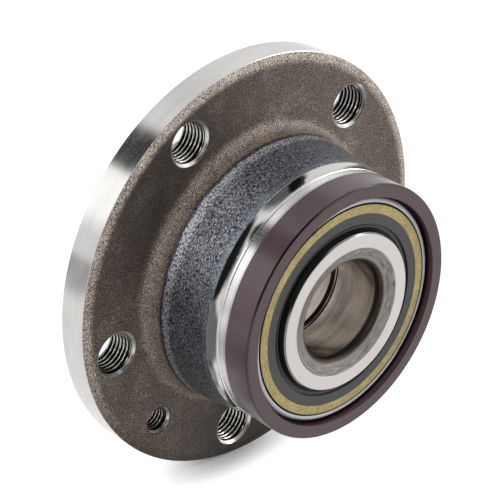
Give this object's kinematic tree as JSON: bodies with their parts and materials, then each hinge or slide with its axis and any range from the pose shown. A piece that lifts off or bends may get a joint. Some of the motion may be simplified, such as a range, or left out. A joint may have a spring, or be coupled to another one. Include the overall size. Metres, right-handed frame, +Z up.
{
  "type": "wheel hub bearing",
  "caption": "Flanged wheel hub with a double row ball bearing, threaded wheel bolt holes, a stepped centring pilot and a magnetic speed ring on its inner end.",
  "frame": {"origin": "on the spin axis, where the end faces of the two inner rings meet", "axes": "+Y along the spin axis toward the wheel, -Y toward the speed ring, +Z up, +X sideways"},
  "size_m": [0.137, 0.0716, 0.137],
  "materials": {
    "forged_steel": "forged, with turned rim, pilots and end band",
    "bright_sheet": "bright pressed sheet",
    "magnet_compound": "semi-matt moulded, dark brown",
    "yellow_sheet": "yellow passivated pressed sheet",
    "seal_rubber": "matt",
    "ring_steel": "ground",
    "spring_steel": "dark, with a bright bead",
    "cage_nylon": "moulded",
    "ball_steel": "polished"
  },
  "bodies": {
    "inner_rings": {"inner_ring_inboard": "ring_steel", "inner_ring_outboard": "ring_steel", "inner_ring_clip": "spring_steel"},
    "hub": {"hub_flange": "forged_steel", "encoder_carrier": "bright_sheet", "encoder_ring": "magnet_compound", "seal_case_inboard": "yellow_sheet", "seal_lip_inboard": "seal_rubber", "seal_case_outboard": "yellow_sheet", "seal_lip_outboard": "seal_rubber"},
    "ball_row_inboard": {"cage_inboard": "cage_nylon", "ball_inboard_01": "ball_steel", "ball_inboard_02": "ball_steel", "ball_inboard_03": "ball_steel", "ball_inboard_04": "ball_steel", "ball_inboard_05": "ball_steel", "ball_inboard_06": "ball_steel", "ball_inboard_07": "ball_steel", "ball_inboard_08": "ball_steel", "ball_inboard_09": "ball_steel", "ball_inboard_10": "ball_steel", "ball_inboard_11": "ball_steel", "ball_inboard_12": "ball_steel", "ball_inboard_13": "ball_steel", "ball_inboard_14": "ball_steel"},
    "ball_row_outboard": {"cage_outboard": "cage_nylon", "ball_outboard_01": "ball_steel", "ball_outboard_02": "ball_steel", "ball_outboard_03": "ball_steel", "ball_outboard_04": "ball_steel", "ball_outboard_05": "ball_steel", "ball_outboard_06": "ball_steel", "ball_outboard_07": "ball_steel", "ball_outboard_08": "ball_steel", "ball_outboard_09": "ball_steel", "ball_outboard_10": "ball_steel", "ball_outboard_11": "ball_steel", "ball_outboard_12": "ball_steel", "ball_outboard_13": "ball_steel", "ball_outboard_14": "ball_steel"}
  },
  "joints": [
    {"name": "hub_spin", "type": "hinge", "parent": "inner_rings", "child": "hub", "pos_m": [0, 0, 0], "axis": [0, 1, 0], "continuous": true},
    {"name": "ball_row_inboard_orbit", "type": "hinge", "parent": "inner_rings", "child": "ball_row_inboard", "pos_m": [0, -0.0086, 0], "axis": [0, 1, 0], "continuous": true},
    {"name": "ball_row_outboard_orbit", "type": "hinge", "parent": "inner_rings", "child": "ball_row_outboard", "pos_m": [0, 0.0086, 0], "axis": [0, 1, 0], "continuous": true}
  ],
  "couplings": [
    {"joint": "ball_row_inboard_orbit", "follows": "hub_spin", "ratio": 0.5768},
    {"joint": "ball_row_outboard_orbit", "follows": "hub_spin", "ratio": 0.5768}
  ]
}
